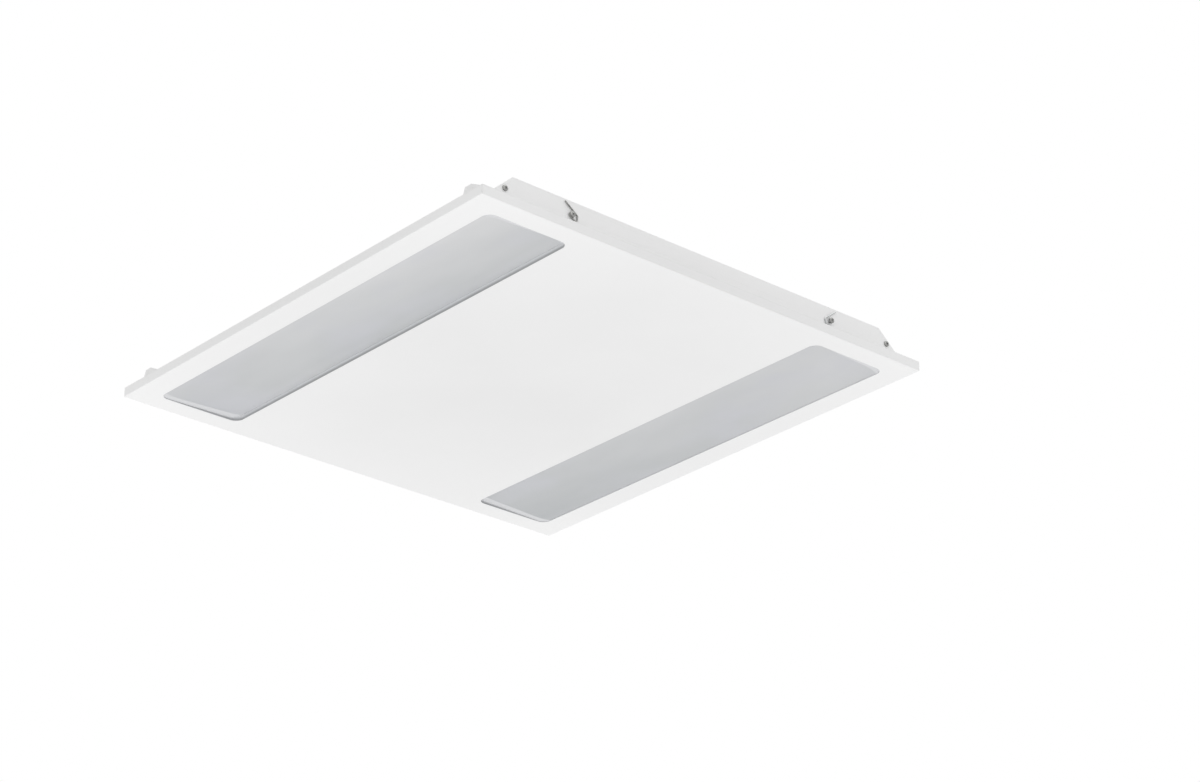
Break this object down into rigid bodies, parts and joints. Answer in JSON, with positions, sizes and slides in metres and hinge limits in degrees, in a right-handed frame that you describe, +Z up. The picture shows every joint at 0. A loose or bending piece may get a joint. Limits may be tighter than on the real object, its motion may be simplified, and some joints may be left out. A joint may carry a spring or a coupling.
{
  "type": "recessed led panel",
  "caption": "Square recessed ceiling light with two long translucent strips in a flat white face, a low rim and a shallow tapered housing behind it.",
  "frame": {"origin": "centre of the visible face, on the plane that rests on the ceiling grid's flanges", "axes": "+Z up into the ceiling void, +X across the two lenses, +Y along them"},
  "size_m": [0.597, 0.597, 0.0438],
  "materials": {
    "white_powder": "smooth white powder coat",
    "lens_grey": "translucent satin acrylic",
    "trough_white": "matt reflective white",
    "dark_steel": "blackened steel",
    "wire_steel": "dark spring wire",
    "zinc_steel": "galvanised steel",
    "spring_steel": "bright spring steel",
    "rivet_aluminium": "bare",
    "brass_nut": "bare",
    "board_white": "white solder mask",
    "led_phosphor": "yellow phosphor in a white package",
    "plastic_white": "moulded white",
    "block_grey": "moulded grey",
    "button_orange": "moulded orange",
    "rubber_grey": "soft grey",
    "board_green": "green solder mask",
    "core_dark": "ferrite and tape",
    "can_black": "sleeved can",
    "lead_brown": "insulation",
    "lead_blue": "insulation",
    "lead_green_yellow": "insulation",
    "lead_white": "insulation"
  },
  "bodies": {
    "luminaire": {"front_plate": "white_powder", "back_box": "white_powder", "end_plate_front": "white_powder", "end_plate_rear": "white_powder", "grid_clip_1": "white_powder", "grid_clip_2": "white_powder", "grid_clip_3": "white_powder", "grid_clip_4": "white_powder", "lens_left": "lens_grey", "lens_right": "lens_grey", "light_trough_left": "trough_white", "light_trough_right": "trough_white", "corner_screws": "dark_steel", "pivot_screws": "dark_steel", "plate_studs": "zinc_steel", "foot_nuts": "zinc_steel", "clinch_nuts": "zinc_steel", "board_screws": "zinc_steel", "driver_screws": "zinc_steel", "driver_nuts": "zinc_steel", "driver_tray": "zinc_steel", "terminal_bay": "zinc_steel", "lid_pin": "zinc_steel", "lid_hinge_ears": "zinc_steel", "earth_stud": "zinc_steel", "suspension_nuts": "zinc_steel", "hold_down_springs": "spring_steel", "spring_rivets": "rivet_aluminium", "bay_rivets": "rivet_aluminium", "earth_nut": "brass_nut", "led_boards_left": "board_white", "led_boards_right": "board_white", "leds_left": "led_phosphor", "leds_right": "led_phosphor", "board_connectors": "plastic_white", "lead_clips": "plastic_white", "driver_input_terminal": "plastic_white", "driver_output_terminal": "plastic_white", "board_posts": "plastic_white", "driver_cover": "plastic_white", "terminal_block": "block_grey", "cable_inlet": "rubber_grey", "bay_bush": "rubber_grey", "driver_board": "board_green", "driver_transformer": "core_dark", "driver_choke": "core_dark", "driver_capacitors": "can_black", "live_lead": "lead_brown", "neutral_lead": "lead_blue", "earth_lead": "lead_green_yellow", "led_leads_left": "lead_white", "led_leads_right": "lead_white"},
    "catch_1": {"swing_catch_1": "wire_steel"},
    "catch_2": {"swing_catch_2": "wire_steel"},
    "catch_3": {"swing_catch_3": "wire_steel"},
    "catch_4": {"swing_catch_4": "wire_steel"},
    "lid": {"terminal_lid": "zinc_steel"},
    "button_1": {"release_button_1": "button_orange"},
    "button_2": {"release_button_2": "button_orange"},
    "button_3": {"release_button_3": "button_orange"}
  },
  "joints": [
    {"name": "catch_1_swing", "type": "hinge", "parent": "luminaire", "child": "catch_1", "pos_m": [-0.1775, -0.2874, 0.024], "axis": [0, 1, 0], "range_deg": [-20, 70]},
    {"name": "catch_2_swing", "type": "hinge", "parent": "luminaire", "child": "catch_2", "pos_m": [0.1775, -0.2874, 0.024], "axis": [0, -1, 0], "range_deg": [-20, 70]},
    {"name": "catch_3_swing", "type": "hinge", "parent": "luminaire", "child": "catch_3", "pos_m": [-0.1775, 0.2874, 0.024], "axis": [0, 1, 0], "range_deg": [-20, 70]},
    {"name": "catch_4_swing", "type": "hinge", "parent": "luminaire", "child": "catch_4", "pos_m": [0.1775, 0.2874, 0.024], "axis": [0, -1, 0], "range_deg": [-20, 70]},
    {"name": "lid_hinge", "type": "hinge", "parent": "luminaire", "child": "lid", "pos_m": [-0.014, -0.15575, 0.0418], "axis": [-1, 0, 0], "range_deg": [0, 110]},
    {"name": "button_1_press", "type": "slide", "parent": "luminaire", "child": "button_1", "axis": [0, 0, 1], "range_m": [-0.0012, 0], "stiffness_N_per_m": 400},
    {"name": "button_2_press", "type": "slide", "parent": "luminaire", "child": "button_2", "axis": [0, 0, 1], "range_m": [-0.0012, 0], "stiffness_N_per_m": 400},
    {"name": "button_3_press", "type": "slide", "parent": "luminaire", "child": "button_3", "axis": [0, 0, 1], "range_m": [-0.0012, 0], "stiffness_N_per_m": 400}
  ]
}
